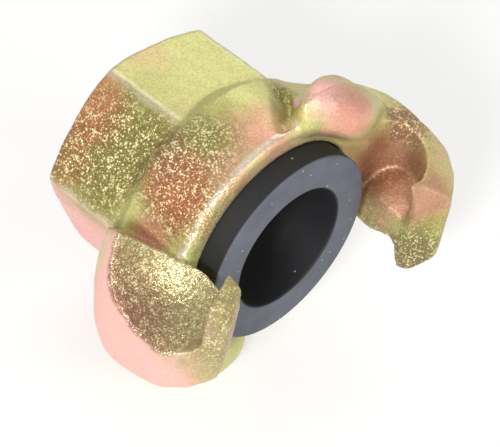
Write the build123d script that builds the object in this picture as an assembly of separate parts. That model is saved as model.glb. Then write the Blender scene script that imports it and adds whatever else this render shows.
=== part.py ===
from build123d import *
import math
import os

# Claw hose coupling half, 42 mm claw distance, with a fixed hexagon and a female pipe thread.
# The X axis is the pipe axis and points out of the sealing face. While it is built, X = 0 is the
# flange's front face. The finished pieces are moved so that X = 0 is where the thread begins.
# Angles run about X, from +Y towards +Z. All sizes are in millimetres and degrees.

# Hexagon and thread
hex_across_flats = 35.0
hex_length = 14.8
hex_corner_round = 0.7
hex_chamfer_angle = 26.0
thread_major_diameter = 26.44
thread_depth = 17.0
thread_entry_chamfer = 1.2
waterway_diameter = 21.5
waterway_taper = 1.6

# Flange, whose outer diameter is the claw distance
claw_distance = 42.0
flange_thickness = 16.7
flange_back_round = 3.6
flange_front_round = 0.9

# Seal ring and its seat
seal_diameter = 34.0
seal_wall = 6.0
seal_proud = 3.9
seal_bead_height = 0.8
seal_bead_width = 1.4
seal_edge_round = 0.3
seat_depth = 7.4
seat_clearance = 0.2
bead_clearance = 0.1

# Cam ears
ear_diameter = 54.8
ear_entry_angle = 88.0
ear_lead_in_angle = 75.0
ear_lock_angle = 22.0
ear_edge_thickness = 0.9
ear_entry_thickness = 3.6
ear_lock_thickness = 8.0
ear_entry_drop = 2.0
ear_rim_step = 0.5
ear_rim_fall = 0.6
ear_back_slope = 1.0
ear_back_run = 3.4
ear_pad_length = 4.2
ear_pad_rise = 1.6
ear_pad_fall = 0.8
ear_pad_angle = 52.0
ear_root_rise = 2.4
ear_root_share = 0.36
ear_root_slope = 1.5
ear_shoulder_x = -0.2
ear_foot_wall = 1.3
ear_foot_x = -0.5
ear_dome_height = 3.9
ear_dome_least = 0.4
ear_dome_angle = 58.0
ear_dome_end_angle = 31.0
ear_dome_fade = 3.0
ear_steps = 5

# Flat relief beside each ear's entry end
relief_angle = 59.5
relief_slope = 24.9
relief_distance = 14.2
relief_floor_diameter = 37.6
relief_front_x = -1.0
relief_rear_x = -9.5

# Claws. Heights are shares of the claw's height above the flange
claw_half_span = 32.7
claw_side_bow_radius = 33.0
claw_side_bow_x = -7.4
claw_side_height = 13.3
claw_tail_side = 11.3
claw_tail_round = 4.5
claw_rear_x = -15.2
claw_rear_run = 4.0
claw_rear_share = 0.55
claw_crown_x = 1.0
claw_crown_bulge_x = -7.0
claw_crown_bulge_share = 0.87
claw_shoulder_bulge_x = 10.6
claw_shoulder_bulge_share = 0.86
claw_root_sink = 8.0
channel_share = 0.54
channel_valley_x = 4.0
channel_wall_share = 0.09
channel_wall_bulge_x = 0.9
channel_wall_bulge_share = 0.38
channel_lip_bulge_x = 8.3
channel_lip_bulge_share = 0.40
lip_tip_x = 12.0
lip_tip_land = 1.9
lip_front_run = 2.8
lip_share = 0.43
lip_bow_radius = 19.0
lip_bow_height = 1.5
tail_angle = 13.0
tail_slant = 17.6
tail_end_round = 6.0
ridge_height = 5.4
ridge_slant = 41.0
ridge_sweep = 11.5
mouth_height = 4.9
mouth_sweep = 14.0
dish_radius = 11.3
dish_x = 5.4
dish_share = 0.835
dish_height = 10.5
dish_end_x = 9.0
dish_end_slant = 68.0
dish_wall = 3.0

# Values that follow from the sizes above
flange_radius = claw_distance / 2
hex_apothem = hex_across_flats / 2
hex_circumradius = hex_apothem / math.cos(math.radians(30))
rear_x = -(flange_thickness + hex_length)
seat_radius = seal_diameter / 2 + seat_clearance
bead_radius = seal_diameter / 2 + seal_bead_height
ear_rim_radius = ear_diameter / 2
bow_x = lip_tip_x - lip_bow_radius
shoulder_x = lip_tip_x + lip_front_run
big = 4 * claw_half_span


def radial_plane(angle):
    """Plane through the axis at an angle: its local x is the axis and its local y is the radius."""
    a = math.radians(angle)
    return Plane(origin=(0, 0, 0), x_dir=(1, 0, 0), z_dir=(0, -math.sin(a), math.cos(a)))


def turned(points):
    """Solid of revolution about the axis from (x, radius) points."""
    return revolve(Plane.XY * make_face(Polyline(*points, close=True)), Axis.X, 360)


def ring(x_from, x_to, inner, outer):
    """Plain ring about the axis, between two places along it."""
    return turned([(x_from, inner), (x_to, inner), (x_to, outer), (x_from, outer)])


def hexagon():
    """Spanner hexagon with its rear corners chamfered to the circle inside the flats."""
    outline = Plane.YZ.offset(rear_x) * RegularPolygon(hex_circumradius, 6)
    prism = extrude(outline, hex_length + flange_back_round)
    prism = fillet(prism.edges().filter_by(Axis.X), hex_corner_round)
    run = (hex_circumradius - hex_apothem) * math.tan(math.radians(hex_chamfer_angle))
    cone = turned([
        (rear_x, 0),
        (rear_x, hex_apothem),
        (rear_x + run, hex_circumradius),
        (0, hex_circumradius),
        (0, 0),
    ])
    return prism & cone


def flange():
    """Flange with a soft front edge and a long chamfer where its back runs down to the hexagon."""
    blank = turned([
        (0, 0),
        (0, flange_radius),
        (flange_back_round - flange_thickness, flange_radius),
        (-flange_thickness, hex_apothem),
        (-flange_thickness, 0),
    ])
    front = blank.edges().filter_by(GeomType.CIRCLE).sort_by(Axis.X)[-1]
    return fillet(front, flange_front_round)


def ear_section(angle):
    """Closed outline of a cam ear in the radial plane at one angle."""
    lead = min(1.0, (ear_entry_angle - angle) / (ear_entry_angle - ear_lead_in_angle))
    lock = max(0.0, ear_lead_in_angle - angle) / (ear_lead_in_angle - ear_lock_angle)
    pad = min(1.0, max(0.0, ear_lead_in_angle - angle) / (ear_lead_in_angle - ear_pad_angle))
    thickness = ear_edge_thickness + lead * (ear_entry_thickness - ear_edge_thickness)
    thickness = thickness + lock * (ear_lock_thickness - ear_entry_thickness)
    root = max(0.0, lock - 1 + ear_root_share) / ear_root_share
    rim = ear_rim_radius - ear_entry_drop * (1 - lead) ** 2 + ear_root_rise * root
    edge = ear_entry_angle + ear_dome_fade if angle > ear_dome_angle else ear_dome_end_angle
    fade = min(1.0, (angle - ear_dome_angle) / (edge - ear_dome_angle))
    crown = max(ear_dome_least, ear_dome_height * math.cos(math.radians(90 * fade)))
    shoulder = (ear_shoulder_x - ear_root_slope * root, rim)
    step = (shoulder[0], rim - ear_rim_step)
    foot = (ear_foot_x, seat_radius + ear_foot_wall)
    middle = (step[1] + foot[1]) / 2
    back = (-thickness - ear_back_slope - ear_back_run * pad, flange_radius + ear_pad_rise * pad)
    rear = (back[0] - ear_back_slope - ear_pad_length * pad, flange_radius - ear_pad_fall * pad)
    inner = (-thickness, seat_radius)
    heel = (-thickness, rim - ear_rim_fall)
    outline = [
        Line(inner, rear),
        Line(rear, back),
        Line(back, heel),
        Line(heel, shoulder),
        Line(shoulder, step),
        ThreePointArc(step, (crown, middle), foot),
        Line(foot, inner),
    ]
    return radial_plane(angle) * make_face(outline)


def ear():
    """Cam ear: domed in front, with a lead-in and a ramp behind, growing towards the claw's root."""
    step = (ear_entry_angle - ear_lock_angle) / ear_steps
    return loft([ear_section(ear_entry_angle - i * step) for i in range(ear_steps + 1)])


def height(share):
    """Distance from the axis of a point at a share of the claw's height above the flange."""
    return flange_radius + share * (claw_half_span - flange_radius)


def half_space(origin, free):
    """Block on the free side of a plane."""
    normal = Vector(free).normalized()
    return extrude(Plane(origin=origin, z_dir=normal) * Rectangle(4 * big, 4 * big), big)


def dish(wall=0.0):
    """Ball-shaped hollow of the claw's closed side, cut off before the lip, grown by a wall."""
    ball = Pos(dish_x, height(dish_share), -dish_height) * Sphere(dish_radius + wall)
    slant = math.radians(dish_end_slant)
    free = Vector(-math.sin(slant), math.cos(slant), 0)
    end = Plane(origin=Vector(dish_end_x, flange_radius, 0) - free * wall, z_dir=free)
    return ball & extrude(end * Rectangle(big, big), big)


def closed_side():
    """Room beside the claw's closed side, up to the tail: two planes that meet in a low ridge."""
    slant = math.radians(ridge_slant)
    free = Vector(0, -math.sin(slant), -math.cos(slant))
    rear = free - Vector(math.tan(math.radians(ridge_sweep)), 0, 0)
    mouth = free + Vector(math.tan(math.radians(mouth_sweep)), 0, 0)
    room = half_space((0, flange_radius, -ridge_height), rear)
    room = room + half_space((dish_end_x, flange_radius, -mouth_height), mouth)
    return room & Pos(dish_end_x - 2 * big, 0, 0) * Box(4 * big, 4 * big, 4 * big)


def tail_side():
    """Room between the claw's tail and the flange."""
    corner = math.radians(tail_angle)
    lean = math.radians(tail_slant)
    origin = (0, flange_radius * math.cos(corner), -flange_radius * math.sin(corner))
    room = half_space(origin, Vector(0, -math.cos(lean), -math.sin(lean)))
    return room & Pos(dish_end_x + 2 * big, 0, 0) * Box(4 * big, 4 * big, 4 * big)


def bowed(lines):
    """Block from an outline in x and y: straight on the tail's side, bowed round on the other."""
    face = Plane.XY.offset(lip_bow_height) * make_face(lines)
    axis = Axis((bow_x, 0, lip_bow_height), (0, 1, 0))
    return extrude(face, -big) + revolve(face, axis, 360)


def claw_blank():
    """Turned crown of the claw, with a bowed side, a flat one and a round at the tail's end."""
    inner = flange_radius - claw_root_sink
    rear = (claw_rear_x + claw_rear_run, height(claw_rear_share))
    crown = (claw_crown_x, claw_half_span)
    bulge = (claw_crown_bulge_x, height(claw_crown_bulge_share))
    turned_crown = revolve(Plane.XY * make_face([
        Line((claw_rear_x, inner), (claw_rear_x, flange_radius)),
        Line((claw_rear_x, flange_radius), rear),
        ThreePointArc(rear, bulge, crown),
        Line(crown, (big, claw_half_span)),
        Line((big, claw_half_span), (big, inner)),
        Line((big, inner), (claw_rear_x, inner)),
    ]), Axis.X, 360)
    view = Circle(claw_half_span) & Pos(0, big / 2 - claw_tail_side) * Rectangle(big, big)
    view = fillet(view.vertices().sort_by(Axis.X)[-1], claw_tail_round)
    end_view = extrude(Plane.YZ.offset(-big) * view, 2 * big)
    side_z = claw_side_height - claw_side_bow_radius
    side = Pos(claw_side_bow_x, 0, side_z) * Rot(X=90) * Cylinder(claw_side_bow_radius, big)
    plan = Pos(shoulder_x - big / 2, big / 2 - claw_tail_side) * Rectangle(big, big)
    plan = fillet(plan.vertices().group_by(Axis.Y)[0].sort_by(Axis.X)[-1], tail_end_round)
    tail_end = extrude(Plane.XZ * plan, big, both=True)
    return turned_crown & end_view & side & tail_end & Pos(0, big / 2, 0) * Box(big, big, big)


def claw_front():
    """Front of the claw: crown, rounded shoulder and the slanted face of the lip."""
    inner = flange_radius - claw_root_sink
    crown = (claw_crown_x, claw_half_span)
    bulge = (claw_shoulder_bulge_x, height(claw_shoulder_bulge_share))
    shoulder = (shoulder_x, height(lip_share))
    return bowed([
        Line((bow_x, inner), (bow_x, claw_half_span)),
        Line((bow_x, claw_half_span), crown),
        ThreePointArc(crown, bulge, shoulder),
        Line(shoulder, (lip_tip_x, flange_radius)),
        Line((lip_tip_x, flange_radius), (lip_tip_x, inner)),
        Line((lip_tip_x, inner), (bow_x, inner)),
    ])


def channel():
    """Cutter for the channel: an upright rear wall, a valley and the back of the lip."""
    inner = seat_radius
    valley = (channel_valley_x, height(channel_share))
    lip_bulge = (channel_lip_bulge_x, height(channel_lip_bulge_share))
    tip = (lip_tip_x - lip_tip_land, flange_radius)
    wall = (0, height(channel_wall_share))
    wall_bulge = (channel_wall_bulge_x, height(channel_wall_bulge_share))
    section = make_face([
        Line((0, inner), wall),
        ThreePointArc(wall, wall_bulge, valley),
        ThreePointArc(valley, lip_bulge, tip),
        Line(tip, (tip[0], inner)),
        Line((tip[0], inner), (0, inner)),
    ])
    return extrude(Plane.XY.offset(-big / 2) * section, big) - dish(dish_wall)


def claw():
    """Hooked claw: open at its leading side, dished and closed at the other, with a tail on its lip."""
    shape = claw_blank() & claw_front()
    for cutter in [closed_side(), tail_side(), dish(), channel(), ring(0, big, 0, flange_radius)]:
        shape = shape - cutter
    return shape


def relief():
    """Cutter for the slanted flat beside an ear, no deeper than its floor."""
    a = math.radians(relief_angle)
    t = math.radians(relief_slope)
    normal = Vector(math.sin(t), math.cos(t) * math.cos(a), math.cos(t) * math.sin(a))
    flat = extrude(Plane(origin=normal * relief_distance, z_dir=normal) * Rectangle(big, big), big)
    room = ring(relief_rear_x, relief_front_x, relief_floor_diameter / 2, big / 2)
    return room & flat


def pair(shape):
    """A shape and its copy half a turn about the axis."""
    return [shape, Rot(X=180) * shape]


def bores():
    """Cutters for the thread bore, the waterway, the seal's seat and its bead groove."""
    thread = thread_major_diameter / 2
    water = waterway_diameter / 2
    thread_end = rear_x + thread_depth
    groove_front_x = seal_bead_width + bead_clearance - seat_depth
    return [
        turned([
            (rear_x, 0),
            (rear_x, thread + thread_entry_chamfer),
            (rear_x + thread_entry_chamfer, thread),
            (thread_end, thread),
            (thread_end + waterway_taper, water),
            (0, water),
            (0, 0),
        ]),
        ring(-seat_depth, 1, 0, seat_radius),
        ring(-seat_depth, groove_front_x, 0, bead_radius + bead_clearance),
    ]


def coupling_body():
    """The one-piece casting."""
    body = flange()
    for cutter in pair(relief()):
        body = body - cutter
    body = body + hexagon()
    for piece in pair(claw()) + pair(ear()):
        body = body + piece
    for cutter in bores():
        body = body - cutter
    return body


def seal_ring():
    """Rubber ring: a flat face, a straight bore and a bead that snaps into the seat's groove."""
    outer = seal_diameter / 2
    hole = outer - seal_wall
    blank = turned([
        (-seat_depth, hole),
        (seal_proud, hole),
        (seal_proud, outer),
        (seal_bead_width - seat_depth, outer),
        (seal_bead_width - seat_depth, bead_radius),
        (-seat_depth, bead_radius),
    ])
    rims = blank.edges().filter_by(GeomType.CIRCLE).group_by(Axis.X)[-1]
    return fillet(rims, seal_edge_round)


os.makedirs("parts", exist_ok=True)
for name, shape in {"coupling_body": coupling_body(), "seal_ring": seal_ring()}.items():
    placed = Pos(-rear_x - thread_entry_chamfer, 0, 0) * shape
    export_step(placed, f"parts/{name}.step")
    print(name, "volume", round(placed.volume, 1), "mm3")
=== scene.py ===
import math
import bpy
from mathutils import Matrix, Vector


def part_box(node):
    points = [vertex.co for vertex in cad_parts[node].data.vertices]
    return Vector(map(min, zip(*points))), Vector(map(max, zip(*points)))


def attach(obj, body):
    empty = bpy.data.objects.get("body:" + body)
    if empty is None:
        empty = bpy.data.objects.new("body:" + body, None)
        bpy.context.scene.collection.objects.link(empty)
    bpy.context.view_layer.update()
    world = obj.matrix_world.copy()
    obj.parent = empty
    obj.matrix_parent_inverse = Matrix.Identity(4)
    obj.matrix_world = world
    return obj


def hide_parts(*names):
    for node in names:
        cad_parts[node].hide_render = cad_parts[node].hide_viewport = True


bl_info = {
    "name": "Claw hose coupling",
    "version": (1, 0, 0),
    "blender": (4, 5, 0),
    "location": "3D View > Sidebar > Coupling",
    "description": "Dresses the coupling: plated cast iron, pipe thread and rubber seal",
    "category": "Object",
}

import bmesh
import bpy
import numpy as np
from bpy.props import FloatProperty, FloatVectorProperty, IntProperty, PointerProperty
from mathutils import Matrix, Vector, noise

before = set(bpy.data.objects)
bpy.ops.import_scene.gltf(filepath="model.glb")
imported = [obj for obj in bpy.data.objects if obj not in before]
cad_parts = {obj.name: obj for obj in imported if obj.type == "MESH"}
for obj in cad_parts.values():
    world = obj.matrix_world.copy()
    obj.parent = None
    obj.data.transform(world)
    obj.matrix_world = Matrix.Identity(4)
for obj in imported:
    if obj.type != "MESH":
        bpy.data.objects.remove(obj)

MM = 0.001
# Where the flange's front face is on the pipe axis. The sizes below are counted from it.
FACE_X = 30.3 * MM
# Middle of the ball that dishes the side of the claw on +Y, in millimetres from that face
DISH_X, DISH_Y, DISH_Z = 5.4, 30.8, -10.5


def tone(red, green, blue):
    """A screen colour, 0 to 255 a channel, as the linear colour that shaders use."""
    out = []
    for value in (red, green, blue):
        share = value / 255
        out.append(share / 12.92 if share <= 0.04045 else ((share + 0.055) / 1.055) ** 2.4)
    return tuple(out)


def place(x, y, z):
    """A point counted in millimetres from the middle of the flange's front face, in metres."""
    return Vector((FACE_X + x * MM, y * MM, z * MM))


def station(x):
    """Metres along the pipe axis to x millimetres ahead of the flange's front face."""
    return FACE_X + x * MM


# Settings that a user would change


def colour(name, description, red, green, blue):
    return FloatVectorProperty(
        name=name,
        description=description,
        subtype="COLOR",
        size=3,
        min=0.0,
        max=1.0,
        default=tone(red, green, blue),
    )


def length(name, description, millimetres):
    return FloatProperty(
        name=name,
        description=description,
        default=millimetres * MM,
        min=0.0,
        subtype="DISTANCE",
        unit="LENGTH",
        precision=5,
    )


def softness(name, description, passes):
    return IntProperty(name=name, description=description, default=passes, min=0)


def fraction(name, description, value):
    return FloatProperty(
        name=name,
        description=description,
        default=value,
        min=0.0,
        max=1.0,
        subtype="FACTOR",
    )


def power(name, description, watts):
    return FloatProperty(
        name=name,
        description=description,
        default=watts,
        min=0.0,
        subtype="POWER",
        unit="POWER",
    )


class CastingSettings(bpy.types.PropertyGroup):
    """Sizes and colours of the plated casting."""

    mesh_size: length("Mesh size", "Size of the quads that carry the cast skin", 0.41)
    claw_passes: softness("Claw softness", "Rounding passes on the backs of the claws", 36)
    flange_passes: softness("Flange softness", "Rounding passes on flange and dishes", 9)
    ear_passes: softness("Ear softness", "Rounding passes on the cam ears", 4)
    hook_passes: softness("Hook softness", "Rounding passes in the channels", 3)
    hexagon_passes: softness("Hexagon softness", "Rounding passes on the hexagon", 3)
    swell: length("Swell", "Height of the shallow waves in the cast skin", 0.09)
    gold: colour("Gold", "Main colour of the passivation", 214, 200, 146)
    straw: colour("Straw", "Pale green film", 210, 214, 138)
    olive: colour("Olive", "Dark green film", 146, 150, 62)
    pink: colour("Pink", "Pale pink film", 250, 186, 188)
    salmon: colour("Salmon", "Salmon pink film", 234, 160, 146)
    rust: colour("Rust", "Orange brown film", 208, 122, 82)
    tan: colour("Tan", "Grey brown film", 184, 166, 138)
    mauve: colour("Mauve", "Dark red brown film", 154, 96, 82)
    moss: colour("Moss", "Darkest green film", 104, 106, 54)
    # Bare metal on the hexagon's worn corners, and the painted highlight along the flange's front
    # rim
    steel_and_highlight: colour("Steel", "Bare metal on worn edges", 248, 238, 226)
    # Colour of the painted glints on the cast grains
    glint_paint: colour("Spark", "Colour of the bright grains", 255, 244, 190)
    # The film's tint in the dishes: painted shade low down (bowl) and painted light high up (brim)
    bowl_shade: colour("Bowl", "Red brown film low in the dishes", 152, 104, 88)
    brim_light: colour("Brim", "Pale green film high in the dishes", 198, 194, 148)
    grain: length("Grain", "Size of one cast grain", 0.36)
    roughness: fraction("Roughness", "Roughness of the plating", 0.46)
    metal: fraction("Metal", "How metallic the film looks", 0.6)


class ThreadSettings(bpy.types.PropertyGroup):
    """Sizes of the female pipe thread."""

    pitch: length("Pitch", "Distance from one ridge to the next", 1.814)
    depth: length("Depth", "How far a ridge reaches into the wall", 1.1)
    radius: length("Radius", "Radius of the bore that carries the ridges", 13.22)
    reach: length("Reach", "Length of the thread", 15.2)


class SealSettings(bpy.types.PropertyGroup):
    """Sizes and colours of the rubber seal ring."""

    edge: length("Edge", "Rounding of the seal's edges", 0.45)
    rubber: colour("Rubber", "Colour of the rubber", 24, 24, 27)
    bloom: colour("Bloom", "Pale bloom on the face", 90, 93, 104)
    # The bore's colour is painted shade on the wall of the ring's hole
    depth: colour("Depth", "Colour of the bore", 13, 14, 21)
    dust: colour("Dust", "Colour of the dust specks", 210, 210, 205)
    roughness: fraction("Roughness", "Roughness of the rubber", 0.66)


class StageSettings(bpy.types.PropertyGroup):
    """Floor, lamps and camera."""

    floor: colour("Floor", "Colour of the floor", 254, 253, 251)
    backdrop: fraction("Backdrop", "Share of plain white in the floor", 0.5)
    sky: FloatProperty(
        name="Sky",
        description="Strength of the room's light",
        default=0.5,
        min=0.0,
    )
    key: power("Key", "Power of the lamp behind", 0.75)
    flash: power("Flash", "Power of the lamp by the camera", 2.1)
    side: power("Side", "Power of the lamp ahead", 0.7)
    lens: FloatProperty(
        name="Lens",
        description="Focal length of the camera",
        default=159.55,
        min=1.0,
        subtype="DISTANCE_CAMERA",
        unit="CAMERA",
    )


# Shader nodes


# Shares of a patch's reach: how far its edge strays, where it ends and where it is full
PATCH_RAGGED, PATCH_END, PATCH_FULL = 0.7, 1.25, 0.45


class Wire:
    """One shader socket, so that maths on it reads as plain Python."""

    def __init__(self, board, socket):
        self.board = board
        self.socket = socket

    def maths(self, operation, *values):
        made = self.board.node("ShaderNodeMath", {"operation": operation}, dict(enumerate(values)))
        return Wire(self.board, made.outputs[0])

    def __add__(self, other):
        return self.maths("ADD", self, other)

    def __radd__(self, other):
        return self.maths("ADD", other, self)

    def __sub__(self, other):
        return self.maths("SUBTRACT", self, other)

    def __rsub__(self, other):
        return self.maths("SUBTRACT", other, self)

    def __mul__(self, other):
        return self.maths("MULTIPLY", self, other)

    def __rmul__(self, other):
        return self.maths("MULTIPLY", other, self)

    def __pow__(self, other):
        return self.maths("POWER", self, other)

    def most(self, other):
        return self.maths("MAXIMUM", self, other)

    def step(self, low, high, start=0.0, end=1.0):
        """Rises smoothly from start to end as the value goes from low to high."""
        made = self.board.node(
            "ShaderNodeMapRange",
            {"interpolation_type": "SMOOTHSTEP"},
            {"Value": self, "From Min": low, "From Max": high, "To Min": start, "To Max": end},
        )
        return Wire(self.board, made.outputs[0])


class Board:
    """The nodes of a finish or of the world. Every node is added by its one method, node."""

    def __init__(self, holder):
        self.holder = holder
        holder.use_nodes = True
        self.tree = holder.node_tree
        self.tree.nodes.clear()

    def node(self, kind, options, inputs):
        """Adds a node: its options first, then the values or links of its sockets."""
        made = self.tree.nodes.new(kind)
        for name, value in options.items():
            setattr(made, name, value)
        for key, value in inputs.items():
            socket = made.inputs[key]
            if isinstance(value, Wire):
                self.tree.links.new(value.socket, socket)
            elif socket.type == "RGBA" and len(value) == 3:
                socket.default_value = (*value, 1.0)
            else:
                socket.default_value = value
        return made

    def wire(self, kind, options, inputs, output=0):
        return Wire(self, self.node(kind, options, inputs).outputs[output])

    def coordinates(self):
        return self.wire("ShaderNodeTexCoord", {}, {}, "Object")

    def axes(self, where):
        """The place along the pipe axis, to the side and up, and the distance from that axis."""
        parts = self.node("ShaderNodeSeparateXYZ", {}, {"Vector": where})
        along, side, height = (Wire(self, socket) for socket in parts.outputs)
        return along, side, height, (side * side + height * height) ** 0.5

    def distance(self, where, point):
        options = {"operation": "DISTANCE"}
        return self.wire("ShaderNodeVectorMath", options, {0: where, 1: point}, "Value")

    def cells(self, where, size):
        """Packed cells of a size: a colour drawn for each cell, and the distance to its middle."""
        options = {"voronoi_dimensions": "3D", "feature": "F1"}
        made = self.node("ShaderNodeTexVoronoi", options, {"Vector": where, "Scale": 1 / size})
        return Wire(self, made.outputs["Color"]), Wire(self, made.outputs["Distance"])

    def red(self, drawn):
        return self.wire("ShaderNodeSeparateColor", {}, {"Color": drawn})

    def noise(self, where, size, detail=2.0, roughness=0.5, distortion=0.0):
        """Cloudy pattern whose blots are about as large as size."""
        inputs = {"Vector": where, "Scale": 1 / size, "Detail": detail}
        inputs.update({"Roughness": roughness, "Distortion": distortion})
        return self.wire("ShaderNodeTexNoise", {}, inputs, "Fac")

    def mix(self, factor, first, second, blend="MIX"):
        options = {"data_type": "RGBA", "blend_type": blend, "clamp_factor": True}
        return self.wire("ShaderNodeMix", options, {0: factor, 6: first, 7: second}, 2)

    def bump(self, height, strength, distance, below=None):
        inputs = {"Height": height, "Strength": strength, "Distance": distance}
        if below is not None:
            inputs["Normal"] = below
        return self.wire("ShaderNodeBump", {}, inputs)

    def near(self, where, point, reach, ragged):
        """Mask that is 1 round a point and falls to 0 past its reach, with a ragged edge."""
        away = self.distance(where, point) + ragged * (reach * PATCH_RAGGED)
        return away.step(reach * PATCH_END, reach * PATCH_FULL)

    def surface(self, **inputs):
        """The Principled shader, with its sockets set by name, as the finish's surface."""
        sockets = {name.replace("_", " "): value for name, value in inputs.items()}
        shader = self.wire("ShaderNodeBsdfPrincipled", {}, sockets)
        self.node("ShaderNodeOutputMaterial", {}, {"Surface": shader})
        return self.holder


# Where the passivation film has taken a colour of its own: the place, how far it reaches in
# millimetres, the colour and how strongly it shows. Two spots in the notch beside an ear hold
# painted shade and a painted highlight instead.
FILM = [
    ((-24, 1, 17.5), 15, "straw", 0.85),
    ((-17, -8, 17.5), 4, "salmon", 0.35),
    ((-30, -3, 17.5), 5, "salmon", 0.5),
    ((-22, -15, 9), 14, "olive", 1.0),
    ((-30, -13, 12), 7, "rust", 0.8),
    ((-30, -17, 4), 6, "rust", 0.5),
    ((-13, 1, 20.5), 7, "straw", 0.9),
    ((-12, -7, 19.5), 5, "olive", 0.5),
    ((-4, -4, 20.5), 6, "salmon", 0.75),
    ((-8, -11, 17), 6, "olive", 0.6),
    ((-7, -17, 12.5), 7, "rust", 1.0),
    ((-3, -12, 17), 4, "salmon", 0.5),
    ((-11.5, -14, 14), 4.5, "mauve", 0.5),
    ((-13, -20.5, 4.6), 5, "straw", 0.85),
    ((-7.5, -20.5, 4.5), 4, "salmon", 0.8),
    ((-2, 1, 24), 5, "straw", 0.9),
    ((1, 6, 28), 6, "pink", 0.85),
    ((3.5, 9.5, 21.5), 5.5, "salmon", 0.95),
    ((-1, 29, 12), 10, "straw", 0.85),
    ((9, 31, 9), 5, "straw", 0.5),
    ((10, 33, 0), 7, "pink", 0.8),
    ((2, 25, 4), 8, "mauve", 0.95),
    ((7, 23.5, 1), 4, "salmon", 0.6),
    ((2, 27, 11), 4, "mauve", 0.8),
    ((12, 22.8, 5), 5, "salmon", 0.6),
    ((12, 22, 4), 6, "mauve", 0.55),
    ((14, 24.5, -2), 5, "olive", 0.7),
    ((12.5, 22, -7), 6, "moss", 0.9),
    ((-8.5, -4, 20.5), 3.5, "olive", 0.35),
    ((14, -28, 4), 10, "tan", 0.9),
    ((14.5, -24, 9), 6, "olive", 0.6),
    ((14.5, -29, 0), 5, "olive", 0.35),
    # Painted shade in the notch beside the ear's entry end
    ((-9.5, 6.5, 18.5), 3, "olive", 1.0),
    # Painted highlight on the ear's entry face in that notch
    ((-5.5, 6, 20.8), 1.8, "pink", 1.0),
    ((0, -4, -23), 10, "straw", 0.9),
]

# Where the cast skin is coarse and gets painted glints on its grains, with painted shade between
# them: the place, its reach in millimetres and the strength.
GRIT = [
    ((-23, -16, 9), 11, 1.0),
    ((-17, -14, 12), 7, 1.0),
    ((-29, -17, 6), 8, 1.0),
    ((-8, -13, 16), 8, 1.0),
    ((-6, -17, 12), 9, 1.0),
    ((12.5, 23, -7), 8, 0.7),
    # Painted shade, through the dark pits, in the notch beside the ear's entry end
    ((-9.5, 6.5, 18.5), 3, 0.6),
    ((4, 25, -1), 8, 0.25),
    ((-22, 16, -9), 14, 0.9),
    ((-7, 16, -13), 10, 0.9),
    ((2, 29.5, 12), 6, 0.7),
    ((-24, 12, 9), 10, 0.6),
    ((-10, 4, -20), 8, 0.6),
    ((-14, 28, 3), 8, 0.4),
    ((14, -26, 6), 9, 0.55),
]

# Sizes of the patterns in the plated skin
RAG_SIZE = 4 * MM
CLOUD_SIZE = 12 * MM
OLIVE_SIZE = 7 * MM
SALMON_SIZE = 8 * MM
CLUMP_SIZE = 1.2 * MM
KNOB_SIZE = 1.1 * MM
DIMPLE_SIZE = 0.95 * MM
SAND_SIZE = 0.4 * MM
FINE_SIZE = 0.25 * MM
# What multiplies the film's colour as painted shade in the pits between the grains, and in the dark
# of the sandy skin
PIT_SHADE_TINT = (0.42, 0.38, 0.3)
SAND_TINT = (0.68, 0.66, 0.62)


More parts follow.
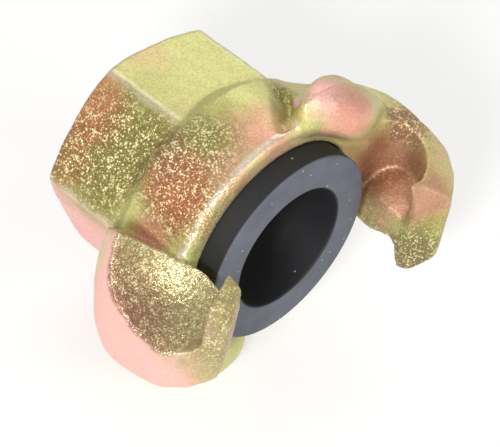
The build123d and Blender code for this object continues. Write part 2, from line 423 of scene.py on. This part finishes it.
def plated_casting(settings):
    """Zinc plated and yellow passivated cast iron: cloudy film, cast grain, painted glints on the
    grains with painted shade between them, painted shade and light in the dishes and a painted
    highlight along the flange's front rim.
    """
    board = Board(bpy.data.materials.new("plated_casting"))
    where = board.coordinates()
    along, side, height, radius = board.axes(where)
    ragged = board.noise(where, RAG_SIZE, 3.0, 0.6) - 0.5
    hollow = 0.0
    for way in (1, -1):
        away = board.distance(where, place(DISH_X, way * DISH_Y, way * DISH_Z))
        hollow = (away + ragged * (2 * MM)).step(12.7 * MM, 11.6 * MM).most(hollow)
    # The film's own clouds, then the pink backs and underside, the patches, the top flat, and the
    # painted shade and light in the dishes
    clouds = board.noise(where, CLOUD_SIZE, 3.0, 0.55)
    shade = board.mix(clouds.step(0.42, 0.6), tuple(settings.gold), tuple(settings.straw))
    blots = board.noise(where, OLIVE_SIZE, 2.0, 0.5, 0.6)
    shade = board.mix(blots.step(0.54, 0.7) * 0.6, shade, tuple(settings.olive))
    blots = board.noise(where, SALMON_SIZE, 3.0, 0.6, 0.4)
    shade = board.mix(blots.step(0.53, 0.68) * 0.65, shade, tuple(settings.salmon))
    crown = (radius + ragged * (4 * MM)).step(28 * MM, 31.5 * MM)
    under = height.step(0.4 * MM, -0.4 * MM) * along.step(station(-13), station(-15))
    shade = board.mix(crown.most(under) * 0.92, shade, tuple(settings.pink))
    for point, reach, film, strength in FILM:
        mask = board.near(where, place(*point), reach * MM, ragged)
        shade = board.mix(mask * strength, shade, tuple(getattr(settings, film)))
    hollow = hollow * along.step(station(10.5), station(9))
    # Painted shade and light in the dishes: red brown and darker low down, pale high up near the
    # glint
    slant = height + side * 0.35 + (along - station(3)) * 0.6
    top = height.step(16.9 * MM, 17.3 * MM) * along.step(station(-12.5), station(-13.5))
    shade = board.mix(top * blots.step(0.36, 0.6, 0.9, 0.35), shade, tuple(settings.straw))
    dish_shade_and_light = board.mix(slant.step(-13 * MM, -4 * MM), tuple(settings.bowl_shade), tuple(settings.brim_light))
    shade = board.mix(hollow * 0.85, shade, dish_shade_and_light)
    # Painted highlight along the flange's front rim, and burnished bare edges on the hexagon's
    # corners
    # The flange's front rim gets a painted highlight, a near white line
    rim_highlight = along.step(station(-1.7), station(-1.3)) * along.step(station(-0.4), station(-0.8))
    rim_highlight = rim_highlight * radius.step(20.1 * MM, 20.5 * MM) * radius.step(22.2 * MM, 21.7 * MM)
    ridges = radius.step(19.5 * MM, 19.9 * MM) * along.step(station(-14.5), station(-15.5))
    worn_and_highlit = (rim_highlight + ridges * 0.45) * ragged.step(-0.2, 0.1, 0.4, 1.0)
    shade = board.mix(worn_and_highlit * 0.85, shade, tuple(settings.steel_and_highlight))
    # The coarse skin: painted glints on the grains with painted shade in the pits between them,
    # then the sandy skin all over
    coarse = 0.0
    for point, reach, strength in GRIT:
        coarse = (board.near(where, place(*point), reach * MM, ragged) * strength).most(coarse)
    coarse = (coarse * (1.0 - under) * (1.0 - top)).most(hollow * 0.8)
    fine = board.noise(where, FINE_SIZE, 2.0, 0.6)
    clumps = board.noise(where, CLUMP_SIZE, 3.0, 0.6)
    drawn, hill = board.cells(where, settings.grain)
    dimples = board.cells(where, DIMPLE_SIZE)[1]
    glint = board.red(drawn) * 0.55 + clumps * 1.2 + fine * 0.8 - hill * 0.9
    # Painted glints: pale spots on the grains that stand in for the lamps' glints
    bright = glint.step(0.97, 1.15) * coarse * (1.0 - hollow * 0.2)
    # Painted shade in the pits between the grains
    dark = coarse * glint.step(0.97, 0.5, 0.3, 0.95)
    shade = board.mix(dark, shade, PIT_SHADE_TINT, "MULTIPLY")
    shade = board.mix(bright, shade, tuple(settings.glint_paint))
    tint = board.mix(fine.step(0.4, 0.6), tuple(settings.salmon), tuple(settings.straw))
    shade = board.mix(0.18, shade, tint)
    sand = board.noise(where, SAND_SIZE, 2.0, 0.7)
    dark = sand.step(0.6, 0.35) * (0.6 - crown * 0.35)
    shade = board.mix(dark, shade, SAND_TINT, "MULTIPLY")
    rough = settings.roughness + (fine - 0.5) * 0.2 - bright * 0.15 + coarse * 0.08
    rough = rough - hollow * 0.2 - worn_and_highlit * 0.2
    rises = board.bump(glint * coarse + sand * 0.8, coarse * 0.4 + 0.3, 0.16 * MM)
    rises = board.bump(dimples, hollow * 0.5, 0.17 * MM, rises)
    knobs = board.noise(where, KNOB_SIZE, 3.0, 0.6)
    skin = board.bump(knobs, coarse * 0.4 + 0.2, 0.25 * MM, rises)
    return board.surface(Base_Color=shade, Metallic=settings.metal, Roughness=rough, Normal=skin)


def machined_thread(settings):
    """The cut thread: the same plating, smoother and without the cast grain."""
    board = Board(bpy.data.materials.new("plated_thread"))
    where = board.coordinates()
    clouds = board.noise(where, 5 * MM, 2.0)
    shade = board.mix(clouds.step(0.4, 0.65), tuple(settings.gold), tuple(settings.olive))
    fine = board.noise(where, 0.4 * MM, 2.0)
    return board.surface(
        Base_Color=shade,
        Metallic=0.85,
        Roughness=0.34 + (fine - 0.5) * 0.2,
        Normal=board.bump(fine, 0.3, 0.05 * MM),
    )


# Radii of the seal ring, and the length of the bead at its back
SEAL_OUTER = 17.0 * MM
SEAL_HOLE = 11.0 * MM
SEAL_BEAD = 1.4 * MM
# Distance from one dust speck to the next that may appear on the rubber
SPECK_SIZE = 0.9 * MM


def moulded_rubber(settings):
    """Black rubber with a pale bloom on its face, painted shade in its bore, dust specks and fine
    moulding grain.
    """
    board = Board(bpy.data.materials.new("moulded_rubber"))
    where = board.coordinates()
    along, _, _, radius = board.axes(where)
    face = along.step(station(3.4), station(3.75))
    clouds = board.noise(where, 5 * MM, 4.0, 0.6).step(0.35, 0.7, 0.75, 1.0)
    # Painted shade on the wall of the ring's hole
    bore_shade = radius.step(SEAL_HOLE + 0.4 * MM, SEAL_HOLE + 0.1 * MM)
    shade = board.mix(face * clouds, tuple(settings.rubber), tuple(settings.bloom))
    shade = board.mix(bore_shade, shade, tuple(settings.depth))
    drawn, away = board.cells(where, SPECK_SIZE)
    specks = board.red(drawn).step(0.97, 0.98) * away.step(0.2, 0.1)
    shade = board.mix(specks * 0.6, shade, tuple(settings.dust))
    fine = board.noise(where, 0.3 * MM, 3.0, 0.6)
    return board.surface(
        Base_Color=shade,
        Roughness=settings.roughness + (fine - 0.5) * 0.2,
        Normal=board.bump(fine, 0.25, 0.06 * MM),
    )


# Meshes


def smooth_shaded(mesh):
    mesh.polygons.foreach_set("use_smooth", [True] * len(mesh.polygons))
    mesh.update()


def finished(name, mesh, material, *nodes):
    """Puts a finished mesh in the scene as a piece of the coupling that stands for CAD nodes."""
    piece = bpy.data.objects.new(name, mesh)
    bpy.context.scene.collection.objects.link(piece)
    mesh.materials.clear()
    mesh.materials.append(material)
    smooth_shaded(mesh)
    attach(piece, "root")
    if nodes:
        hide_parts(*nodes)
    return piece


def evaluated(helper):
    """The plain mesh that an object's modifiers give. The helper object goes away."""
    held = helper.evaluated_get(bpy.context.evaluated_depsgraph_get())
    mesh = bpy.data.meshes.new_from_object(held)
    bpy.data.objects.remove(helper)
    return mesh


def even_mesh(node, size):
    """An even mesh of quads over a CAD node, made from a merged copy of it."""
    merged = bmesh.new()
    merged.from_mesh(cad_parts[node].data)
    bmesh.ops.remove_doubles(merged, verts=merged.verts, dist=MM / 1000)
    mesh = bpy.data.meshes.new(node + "_merged")
    merged.to_mesh(mesh)
    merged.free()
    helper = bpy.data.objects.new(mesh.name, mesh)
    bpy.context.scene.collection.objects.link(helper)
    remesh = helper.modifiers.new("even", "REMESH")
    remesh.mode = "VOXEL"
    remesh.voxel_size = size
    return evaluated(helper)


def ramp(values, low, high):
    """0 below low, 1 above high and a smooth rise between, for an array."""
    share = np.clip((values - low) / (high - low), 0, 1)
    return share * share * (3 - 2 * share)


def soften(mesh, passes):
    """Rounds a mesh: each point moves half way to its neighbours, as often as passes says."""
    count = len(mesh.vertices)
    points = np.empty(count * 3)
    mesh.vertices.foreach_get("co", points)
    points = points.reshape(-1, 3)
    edges = np.empty(len(mesh.edges) * 2, int)
    mesh.edges.foreach_get("vertices", edges)
    a, b = edges.reshape(-1, 2).T
    neighbours = np.bincount(a, minlength=count) + np.bincount(b, minlength=count)
    for turn in range(int(np.ceil(passes.max()))):
        total = np.empty_like(points)
        for axis in range(3):
            column = points[:, axis]
            total[:, axis] = np.bincount(a, column[b], count) + np.bincount(b, column[a], count)
        pull = 0.5 * np.clip(passes - turn, 0, 1)[:, None]
        points = points + pull * (total / neighbours[:, None] - points)
    mesh.vertices.foreach_set("co", points.ravel())
    mesh.update()
    return points


# Rounding passes where an ear's foot meets the flange, and in the notch beside its entry end
FOOT_PASSES = 16
NOTCH_PASSES = 2.5
# Sizes of the shallow waves in the cast skin, and the share of the swell by which they are sunk
BROAD_WAVE = 3.2 * MM
SMALL_WAVE = 1.4 * MM
WAVE_SINK = 0.6


def casting_mesh(settings):
    """The casting with soft cast edges and a slightly wavy skin. Its seat and bores stay true.

    Each zone is a mask over the points, with limits in millimetres or degrees, and has its own
    number of rounding passes. Later zones win over earlier ones.
    """
    mesh = even_mesh("coupling_body", settings.mesh_size)
    points = np.empty(len(mesh.vertices) * 3)
    mesh.vertices.foreach_get("co", points)
    x, y, z = points.reshape(-1, 3).T
    radius = np.hypot(y, z) / MM
    ahead = (x - FACE_X) / MM
    angle = np.degrees(np.arctan2(z, y)) % 180
    across, up = np.abs(y) / MM, z * np.sign(y) / MM
    outside = ramp(radius, 17.9, 19.2)
    outside = np.maximum(outside, ramp(-ahead, 4, 8) * ramp(radius, 15, 17))
    away = np.sqrt((ahead - DISH_X) ** 2 + (across - DISH_Y) ** 2 + (up - DISH_Z) ** 2)
    dish = ramp(-away, -13.2, -12.4) * ramp(ahead, -9, -7)
    flange = ramp(ahead, -14, -9)
    hook = ramp(ahead, -0.8, 0.4) * ramp(-radius, -31.2, -30)
    ear = ramp(angle, 24, 34) * ramp(-radius, -29, -27.6)
    ear = ear * ramp(ahead, -9, -7) * ramp(radius, 21, 23)
    foot = ramp(angle, 28, 36) * ramp(-angle, -92, -86)
    foot = foot * ramp(-radius, -23.6, -22.4) * ramp(ahead, -3, -2)
    notch = ramp(-np.hypot(np.hypot(ahead + 7, radius - 20.5), (angle - 74) * 0.36), -6, -4)
    passes = settings.hexagon_passes + 0 * radius
    for mask, turns in (
        (flange, settings.flange_passes),
        (ramp(radius, 29.8, 31.2) * flange, settings.claw_passes),
        (hook, settings.hook_passes),
        (ear, settings.ear_passes),
        (dish, settings.flange_passes),
        (foot, FOOT_PASSES),
        (notch, NOTCH_PASSES),
    ):
        passes = passes + mask * (turns - passes)
    passes = passes * outside
    points = soften(mesh, passes)
    normals = np.empty(len(mesh.vertices) * 3)
    mesh.vertices.foreach_get("normal", normals)
    waves = []
    for point in points:
        broad = noise.noise(Vector(point) / BROAD_WAVE)
        small = noise.noise(Vector(point) / SMALL_WAVE)
        waves.append(broad + 0.5 * small - WAVE_SINK)
    lift = np.array(waves) * settings.swell * outside
    points = points + normals.reshape(-1, 3) * lift[:, None]
    mesh.vertices.foreach_set("co", points.ravel())
    mesh.update()
    return mesh


def lathe(name, profile, steps):
    """A closed ring turned about the pipe axis from a closed line of (x, radius) points."""
    turn = 2 * math.pi / steps
    points = []
    for i in range(steps):
        cos, sin = math.cos(i * turn), math.sin(i * turn)
        points.extend((x, radius * cos, radius * sin) for x, radius in profile)
    size = len(profile)
    faces = []
    for i in range(steps):
        here, after = i * size, (i + 1) % steps * size
        for j in range(size):
            k = (j + 1) % size
            faces.append((here + j, here + k, after + k, after + j))
    mesh = bpy.data.meshes.new(name)
    mesh.from_pydata(points, [], faces)
    shell = bmesh.new()
    shell.from_mesh(mesh)
    bmesh.ops.recalc_face_normals(shell, faces=shell.faces)
    shell.to_mesh(mesh)
    shell.free()
    return mesh


def rounded(outline, radius, steps):
    """A closed outline with each corner replaced by a curve that starts radius before it."""
    out = []
    for i, corner in enumerate(outline):
        here = Vector(corner)
        before = Vector(outline[i - 1]) - here
        after = Vector(outline[(i + 1) % len(outline)]) - here
        reach = min(radius, before.length / 2, after.length / 2)
        start = here + before.normalized() * reach
        end = here + after.normalized() * reach
        for j in range(steps + 1):
            t = j / steps
            out.append(tuple(start * (1 - t) ** 2 + here * 2 * t * (1 - t) + end * t ** 2))
    return out


def seal_mesh(settings):
    """The rubber ring, with soft edges and the bead that snaps into the seat."""
    low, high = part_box("seal_ring")
    bead_radius = high.y
    step = low.x + SEAL_BEAD
    outline = [
        (low.x, SEAL_HOLE),
        (high.x, SEAL_HOLE),
        (high.x, SEAL_OUTER),
        (step, SEAL_OUTER),
        (step, bead_radius),
        (low.x, bead_radius),
    ]
    return lathe("seal", rounded(outline, settings.edge, 5), 160)


# Shares of the pitch from a ridge's middle to the edge of its foot and of its crest, how far its
# foot stands out of the bore's wall, and the steps of one turn. A known fault: the profile's X axis
# points at the pipe axis, so the crest lies hidden in the wall and the thread shows as low bands.
RIDGE_FOOT, RIDGE_CREST = 0.46, 0.09
RIDGE_PROUD = 0.1 * MM
TURN_STEPS = 64


def thread_tree():
    """Geometry nodes for the thread: a helix of ridges about Z, then laid along the pipe axis."""
    tree = bpy.data.node_groups.new("thread_ridges", "GeometryNodeTree")
    sockets = tree.interface
    sockets.new_socket("Geometry", in_out="INPUT", socket_type="NodeSocketGeometry")
    for name in ("Radius", "Pitch", "Depth", "Reach"):
        sockets.new_socket(name, in_out="INPUT", socket_type="NodeSocketFloat")
    sockets.new_socket("Finish", in_out="INPUT", socket_type="NodeSocketMaterial")
    sockets.new_socket("Geometry", in_out="OUTPUT", socket_type="NodeSocketGeometry")

    def add(kind, options, inputs):
        made = tree.nodes.new(kind)
        for name, value in options.items():
            setattr(made, name, value)
        for key, value in inputs.items():
            if isinstance(value, bpy.types.NodeSocket):
                tree.links.new(value, made.inputs[key])
            else:
                made.inputs[key].default_value = value
        return made

    def maths(operation, first, second):
        return add("ShaderNodeMath", {"operation": operation}, {0: first, 1: second}).outputs[0]

    given = add("NodeGroupInput", {}, {}).outputs
    turns = maths("DIVIDE", given["Reach"], given["Pitch"])
    sizes = {"Resolution": TURN_STEPS, "Rotations": turns, "Start Radius": given["Radius"]}
    sizes.update({"End Radius": given["Radius"], "Height": given["Reach"]})
    helix = add("GeometryNodeCurveSpiral", {}, sizes)
    upright = add("GeometryNodeSetCurveNormal", {"mode": "Z_UP"}, {"Curve": helix.outputs[0]})
    half = maths("MULTIPLY", given["Pitch"], RIDGE_FOOT)
    crest = maths("MULTIPLY", given["Pitch"], RIDGE_CREST)
    outward = maths("MULTIPLY", given["Depth"], -1.0)
    minus_half = maths("MULTIPLY", half, -1.0)
    minus_crest = maths("MULTIPLY", crest, -1.0)

    def corner(x, y):
        return add("ShaderNodeCombineXYZ", {}, {0: x, 1: y}).outputs[0]

    points = {
        "Point 1": corner(RIDGE_PROUD, minus_half),
        "Point 2": corner(outward, minus_crest),
        "Point 3": corner(outward, crest),
        "Point 4": corner(RIDGE_PROUD, half),
    }
    profile = add("GeometryNodeCurvePrimitiveQuadrilateral", {"mode": "POINTS"}, points)
    tube = {"Curve": upright.outputs[0], "Profile Curve": profile.outputs[0], "Fill Caps": True}
    ridges = add("GeometryNodeCurveToMesh", {}, tube)
    turned = {"Geometry": ridges.outputs[0], "Rotation": (0.0, math.pi / 2, 0.0)}
    lying = add("GeometryNodeTransform", {}, turned)
    real = add("GeometryNodeRealizeInstances", {}, {"Geometry": lying.outputs[0]})
    coat = {"Geometry": real.outputs[0], "Material": given["Finish"]}
    coated = add("GeometryNodeSetMaterial", {}, coat)
    add("NodeGroupOutput", {}, {"Geometry": coated.outputs[0]})
    return tree


def thread_mesh(settings, material):
    """The thread's ridges as a plain mesh."""
    tree = thread_tree()
    helper = bpy.data.objects.new("thread_helper", bpy.data.meshes.new("thread_helper"))
    bpy.context.scene.collection.objects.link(helper)
    ridges = helper.modifiers.new("ridges", "NODES")
    ridges.node_group = tree
    given = {
        "Radius": settings.radius,
        "Pitch": settings.pitch,
        "Depth": settings.depth,
        "Reach": settings.reach,
        "Finish": material,
    }
    for item in tree.interface.items_tree:
        if item.in_out == "INPUT" and item.name in given:
            ridges[item.identifier] = given[item.name]
    return evaluated(helper)


# Operators


class MakeCasting(bpy.types.Operator):
    """Dress the one-piece casting"""

    bl_idname = "coupling.make_casting"
    bl_label = "Casting"

    def execute(self, context):
        settings = context.scene.coupling_casting
        mesh = casting_mesh(settings)
        piece = finished("casting", mesh, plated_casting(settings), "coupling_body")
        return {"FINISHED"}


class MakeThread(bpy.types.Operator):
    """Cut the pipe thread's ridges into the rear bore"""

    bl_idname = "coupling.make_thread"
    bl_label = "Thread"

    def execute(self, context):
        material = machined_thread(context.scene.coupling_casting)
        piece = finished("thread", thread_mesh(context.scene.coupling_thread, material), material)
        return {"FINISHED"}


class MakeSeal(bpy.types.Operator):
    """Make the rubber seal ring"""

    bl_idname = "coupling.make_seal"
    bl_label = "Seal ring"

    def execute(self, context):
        settings = context.scene.coupling_seal
        piece = finished("seal", seal_mesh(settings), moulded_rubber(settings), "seal_ring")
        return {"FINISHED"}


# The camera, as fitted to the photo: its right and backward directions, and its place in
# millimetres from the middle of the flange's front face
CAMERA_RIGHT = (0.7115, 0.6807, 0.1749)
CAMERA_BACK = (0.4460, -0.6300, 0.6360)
CAMERA_PLACE = (152.06, -221.19, 222.38)
# How far the floor reaches each way, in metres
FLOOR_REACH = 3.0
WHITE = (1.0, 1.0, 1.0)


def lamp(name, direction, distance, size, watts):
    """A square soft lamp that looks at the coupling from a direction."""
    data = bpy.data.lights.new(name, "AREA")
    data.shape = "SQUARE"
    data.size = size
    data.energy = watts
    made = bpy.data.objects.new(name, data)
    bpy.context.scene.collection.objects.link(made)
    aim = Vector(direction).normalized()
    turn = aim.to_track_quat("Z", "Y").to_matrix().to_4x4()
    made.matrix_world = Matrix.Translation(place(0, 0, 0) + aim * distance) @ turn


def pale_floor(settings):
    """A plain floor under the casting. The camera sees part of it as plain white."""
    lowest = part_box("coupling_body")[0].z
    mesh = bpy.data.meshes.new("floor")
    sides = ((-1, -1), (1, -1), (1, 1), (-1, 1))
    points = [(x * FLOOR_REACH, y * FLOOR_REACH, lowest) for x, y in sides]
    mesh.from_pydata(points, [], [(0, 1, 2, 3)])
    floor = bpy.data.objects.new("floor", mesh)
    bpy.context.scene.collection.objects.link(floor)
    board = Board(bpy.data.materials.new("floor_paper"))
    rays = board.node("ShaderNodeLightPath", {}, {}).outputs
    kinds = ("Is Camera Ray", "Is Glossy Ray", "Is Transmission Ray")
    camera, gloss, glass = (Wire(board, rays[kind]) for kind in kinds)
    share = camera.most(gloss).most(glass) * settings.backdrop
    paper = board.wire("ShaderNodeBsdfDiffuse", {}, {"Color": tuple(settings.floor)})
    white = board.wire("ShaderNodeEmission", {}, {"Color": WHITE, "Strength": 1.0})
    mixed = board.wire("ShaderNodeMixShader", {}, {0: share, 1: paper, 2: white})
    board.node("ShaderNodeOutputMaterial", {}, {"Surface": mixed})
    mesh.materials.append(board.holder)


def pale_room(settings):
    """Even light from all round, with plain white behind the object for the camera."""
    world = bpy.data.worlds.new("studio")
    bpy.context.scene.world = world
    board = Board(world)
    seen = board.wire("ShaderNodeLightPath", {}, {}, "Is Camera Ray")
    room = board.wire("ShaderNodeBackground", {}, {"Color": WHITE, "Strength": settings.sky})
    plain = board.wire("ShaderNodeBackground", {}, {"Color": WHITE, "Strength": 1.0})
    mixed = board.wire("ShaderNodeMixShader", {}, {0: seen, 1: room, 2: plain})
    board.node("ShaderNodeOutputWorld", {}, {"Surface": mixed})


def photo_camera(settings):
    """A camera at the photo's angle. The photo doesn't fix its distance, so that was chosen."""
    data = bpy.data.cameras.new("camera")
    data.lens = settings.lens
    data.sensor_width = 36.0
    data.clip_end = 10.0
    camera = bpy.data.objects.new("camera", data)
    right = Vector(CAMERA_RIGHT).normalized()
    back = Vector(CAMERA_BACK).normalized()
    upward = back.cross(right).normalized()
    right = upward.cross(back)
    turn = Matrix((right, upward, back)).transposed().to_4x4()
    camera.matrix_world = Matrix.Translation(place(*CAMERA_PLACE)) @ turn
    return camera


class MakeStage(bpy.types.Operator):
    """Make the floor, the lamps and the camera"""

    bl_idname = "coupling.make_stage"
    bl_label = "Stage"

    def execute(self, context):
        settings = context.scene.coupling_stage
        scene = context.scene
        pale_floor(settings)
        pale_room(settings)
        lamp("key", (-0.5, 0.52, 0.7), 0.6, 0.42, settings.key)
        lamp("flash", (0.39, -0.82, 0.47), 0.5, 0.07, settings.flash)
        lamp("side", (0.83, 0.09, 0.53), 0.5, 0.2, settings.side)
        camera = photo_camera(settings)
        scene.collection.objects.link(camera)
        scene.camera = camera
        scene.view_settings.view_transform = "Standard"
        return {"FINISHED"}


class CouplingPanel(bpy.types.Panel):
    """Lists the coupling's settings and makers"""

    bl_idname = "VIEW3D_PT_coupling"
    bl_label = "Claw hose coupling"
    bl_space_type = "VIEW_3D"
    bl_region_type = "UI"
    bl_category = "Coupling"

    def draw(self, context):
        for maker, holder in MAKERS:
            box = self.layout.box()
            box.operator(maker.bl_idname)
            settings = getattr(context.scene, holder)
            for name in settings.__annotations__:
                box.prop(settings, name)


MAKERS = [
    (MakeCasting, "coupling_casting"),
    (MakeThread, "coupling_thread"),
    (MakeSeal, "coupling_seal"),
    (MakeStage, "coupling_stage"),
]
SETTINGS = {
    "coupling_casting": CastingSettings,
    "coupling_thread": ThreadSettings,
    "coupling_seal": SealSettings,
    "coupling_stage": StageSettings,
}


def register():
    for holder, group in SETTINGS.items():
        bpy.utils.register_class(group)
        setattr(bpy.types.Scene, holder, PointerProperty(type=group))
    for maker, _ in MAKERS:
        bpy.utils.register_class(maker)
    bpy.utils.register_class(CouplingPanel)


def unregister():
    bpy.utils.unregister_class(CouplingPanel)
    for maker, _ in reversed(MAKERS):
        bpy.utils.unregister_class(maker)
    for holder, group in SETTINGS.items():
        delattr(bpy.types.Scene, holder)
        bpy.utils.unregister_class(group)


def main():
    register()
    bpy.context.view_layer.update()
    for maker, _ in MAKERS:
        group, name = maker.bl_idname.split(".")
        getattr(getattr(bpy.ops, group), name)()


if __name__ == "__main__":
    main()
